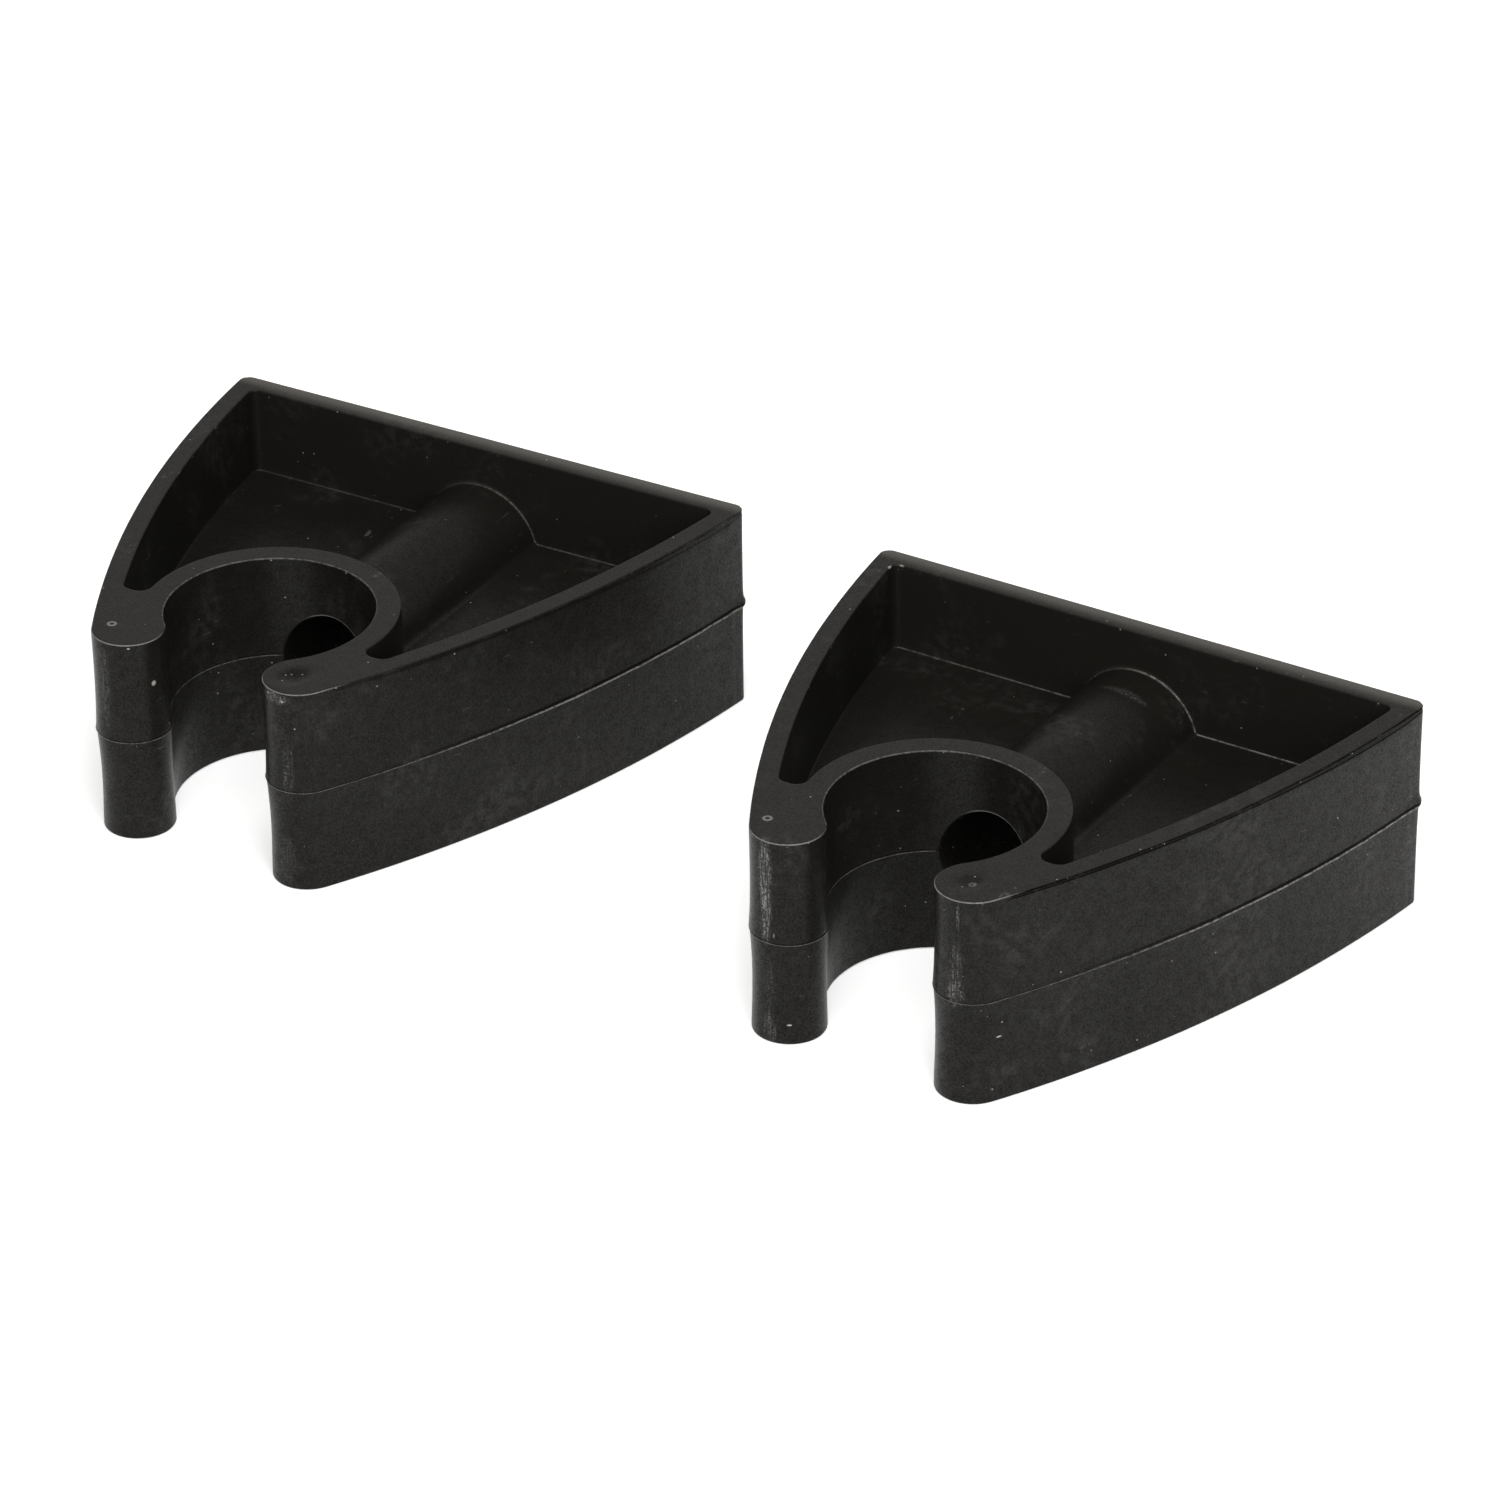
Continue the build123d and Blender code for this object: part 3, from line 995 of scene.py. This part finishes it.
def add_piece(name, mesh, place, body, material):
    """Puts a mesh made in a chock's own axes in place, and keeps those axes for its material."""
    own = np.zeros(len(mesh.vertices) * 3, np.float32)
    mesh.vertices.foreach_get("co", own)
    kept = mesh.attributes.new("own", "FLOAT_VECTOR", "POINT")
    kept.data.foreach_set("vector", own / MM)
    mesh.transform(place)
    mesh.materials.append(material)
    mesh.polygons.foreach_set("use_smooth", [True] * len(mesh.polygons))
    piece = bpy.data.objects.new(name, mesh)
    bpy.context.scene.collection.objects.link(piece)
    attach(piece, body)
    return piece


# What differs between the two chocks. Pips are places on the tips; a dish is (x, y, radius, depth).
SIDES = {
    "right": {
        "seed": 11,
        "scuffs": RIGHT_SCUFFS,
        "marks": RIGHT_MARKS,
        # strengths of the painted highlight on the fillets and of the painted shade under the side walls'
        # top edge
        "fillet_highlight": 0.7,
        "edge_shade": 1.0,
        "pips": ((-14.9, -12.0), (12.05, -12.2)),
        "dishes": [(11.6, -12.1, 1.4, 0.32)],
    },
    "left": {
        "seed": 47,
        "scuffs": LEFT_SCUFFS,
        "marks": LEFT_MARKS,
        # strengths of the painted highlight on the fillets and of the painted shade under the side walls'
        # top edge
        "fillet_highlight": 0.28,
        "edge_shade": 0.5,
        "pips": ((-14.4, -12.2), (11.85, -12.05)),
        "dishes": [(11.5, -12.0, 1.5, 0.5)],
    },
}


def add_chock(side, facts):
    """One chock: its moulding and its gate marks."""
    place = place_of(side)
    marks = list(facts["marks"])
    for x, y in facts["pips"]:
        marks += [((x, y, HEIGHT), *PIP_RING), ((x, y, HEIGHT), *PIP_HEART)]
    look = Plastic(f"black_plastic_{side}", facts["seed"])
    plastic = look.finish(facts["scuffs"], marks, facts["fillet_highlight"], facts["edge_shade"])
    chock = Chock(f"{side}_chock_moulding", facts["seed"], facts["dishes"])
    piece = add_piece(chock.name, chock.mesh(), place, f"{side}_chock", plastic)
    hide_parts(f"{side}_chock")
    for number, (x, y) in enumerate(facts["pips"]):
        top = MIDDLE + float(chock.top(x, y, 1))
        label = f"{side}_gate_mark_{number + 1}"
        add_piece(label, make_pip(label, x, y, top, number), place, f"{side}_chock", plastic)


for side, facts in SIDES.items():
    add_chock(side, facts)

# Floor: a wide white paper sweep that gives off a little light, as an evenly lit ground does
REACH = 12.0
FLOOR_GAP = 0.03 * MM
PAPER_DARK = (0.90, 0.90, 0.90, 1)
PAPER_LIGHT = (0.94, 0.94, 0.94, 1)
PAPER_GLOW = 0.38


def add_floor():
    corners = [(-REACH, -REACH, 0), (REACH, -REACH, 0), (REACH, REACH, 0), (-REACH, REACH, 0)]
    mesh = bpy.data.meshes.new("floor")
    mesh.from_pydata(corners, [], [(0, 1, 2, 3)])
    floor = bpy.data.objects.new("floor", mesh)
    bpy.context.scene.collection.objects.link(floor)
    floor.location.z = -FLOOR_GAP
    paper = Look("pale_floor")
    ground = paper.put("ShaderNodeTexCoord", {}).outputs["Object"]
    fibre = paper.noise(ground, *FIBRE)
    paper.fill(paper.shader, {
        "Base Color": paper.mix(fibre, PAPER_DARK, PAPER_LIGHT),
        "Roughness": paper.remap(fibre, 0.3, 0.7, 0.75, 0.85),
        "Specular IOR Level": 0.2,
        "Emission Color": (1, 1, 1, 1),
        "Emission Strength": PAPER_GLOW,
    })
    mesh.materials.append(paper.material)
    return floor


floor = add_floor()

# Light: soft surroundings, darker toward the front right, and two soft lamps
WORLD_COLOUR = (1.0, 0.985, 0.955, 1)
WORLD_STRENGTH = 0.5
DARK_TOWARDS = (0.42, -0.88, 0.2)
DARK_STRENGTH = 0.08
DARK_FADE = (0.35, 0.95)


def set_surroundings():
    world = bpy.data.worlds.new("studio")
    bpy.context.scene.world = world
    world.use_nodes = True
    nodes, links = world.node_tree.nodes, world.node_tree.links
    around = nodes.new("ShaderNodeTexCoord")
    facing = nodes.new("ShaderNodeVectorMath")
    facing.operation = "DOT_PRODUCT"
    facing.inputs[1].default_value = DARK_TOWARDS
    level = nodes.new("ShaderNodeMapRange")
    level.interpolation_type = "SMOOTHSTEP"
    for socket, value in enumerate((*DARK_FADE, WORLD_STRENGTH, DARK_STRENGTH), 1):
        level.inputs[socket].default_value = value
    background = nodes["Background"]
    links.new(around.outputs["Generated"], facing.inputs[0])
    links.new(facing.outputs["Value"], level.inputs[0])
    links.new(level.outputs[0], background.inputs["Strength"])
    background.inputs["Color"].default_value = WORLD_COLOUR


def direction(azimuth, elevation):
    """Unit vector towards a place seen from the object; azimuth 0 is the front, 90 the right."""
    a, e = radians(azimuth), radians(elevation)
    return Vector((sin(a) * cos(e), -cos(a) * cos(e), sin(e)))


def add_area(name, azimuth, elevation, distance, size, power):
    """A round soft lamp that faces the middle of the object."""
    data = bpy.data.lights.new(name, "AREA")
    data.shape = "DISK"
    data.size = size
    data.energy = power
    lamp = bpy.data.objects.new(name, data)
    bpy.context.scene.collection.objects.link(lamp)
    out = direction(azimuth, elevation)
    lamp.location = centre + out * distance
    lamp.rotation_mode = "QUATERNION"
    lamp.rotation_quaternion = (-out).to_track_quat("-Z", "Y")


centre = (cad_low + cad_high) / 2
set_surroundings()
add_area("overhead", 32, 76, 1.0, 0.45, 4.6)
add_area("front_panel", 45, 33, 1.0, 0.8, 5.6)

# Camera, at the solved viewing angle
AZIMUTH, ELEVATION, ROLL = 32.387, 30.015, radians(-0.655)
DISTANCE = 0.85544
AIM_OFFSET = Vector((-0.002776, 0.022936, 0))
LENS = 167.51
SENSOR_WIDTH = 36.0
camera_data = bpy.data.cameras.new("camera")
camera_data.sensor_width = SENSOR_WIDTH
camera_data.lens = LENS
camera_data.clip_start, camera_data.clip_end = 0.05, 50
camera = bpy.data.objects.new("camera", camera_data)
bpy.context.scene.collection.objects.link(camera)
out = direction(AZIMUTH, ELEVATION)
camera.location = Vector((centre.x, centre.y, 0)) + AIM_OFFSET + out * DISTANCE
camera.rotation_mode = "QUATERNION"
aim = (-out).to_track_quat("-Z", "Y")
camera.rotation_quaternion = aim @ Matrix.Rotation(ROLL, 3, "Z").to_quaternion()
bpy.context.scene.camera = camera
bpy.context.scene.view_settings.view_transform = "Standard"

bpy.context.view_layer.update()
